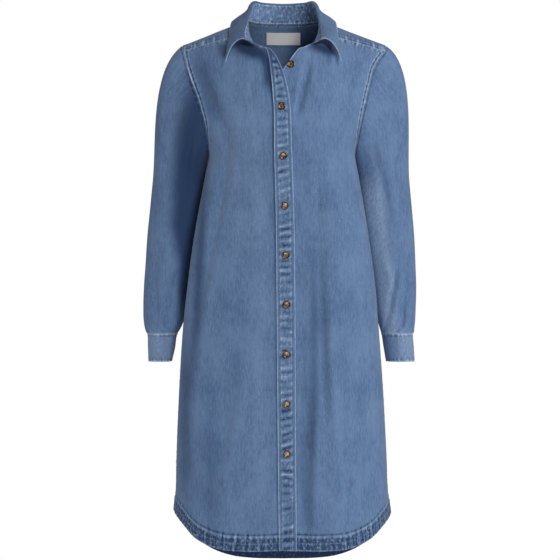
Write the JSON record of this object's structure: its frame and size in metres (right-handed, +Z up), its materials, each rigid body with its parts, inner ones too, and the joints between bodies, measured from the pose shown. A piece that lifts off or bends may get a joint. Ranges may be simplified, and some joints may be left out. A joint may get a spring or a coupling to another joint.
{
  "type": "shirt dress",
  "caption": "Hollow worn-form shirt dress with a collar on a stand, buttoned front placket, back yoke, long cuffed sleeves and a shirt-tail hem.",
  "frame": {"origin": "between the two high shoulder points, level with them to within 14 mm, where the wearer's shoulders carry the dress", "axes": "+Z up, the front faces -Y, and the wearer's right is -X, which is a viewer's left in front of the dress"},
  "size_m": [0.5257, 0.2708, 1.0931],
  "materials": {
    "denim": "light blue cotton denim of shirt weight, washed, matte",
    "tortoise_resin": "polished brown resin with darker and amber clouds",
    "label_tape": "white woven tape, blank"
  },
  "bodies": {
    "root": {"front_right": "denim", "front_left": "denim", "back": "denim", "yoke": "denim", "sleeve_right": "denim", "sleeve_left": "denim", "sleeve_placket_right": "denim", "sleeve_placket_left": "denim", "cuff_right": "denim", "cuff_left": "denim", "placket": "denim", "collar_stand": "denim", "collar": "denim", "label": "label_tape", "button_1": "tortoise_resin", "button_2": "tortoise_resin", "button_3": "tortoise_resin", "button_4": "tortoise_resin", "button_5": "tortoise_resin", "button_6": "tortoise_resin", "button_7": "tortoise_resin", "button_8": "tortoise_resin", "button_9": "tortoise_resin", "button_stand": "tortoise_resin", "button_cuff_right": "tortoise_resin", "button_cuff_left": "tortoise_resin"}
  },
  "joints": []
}
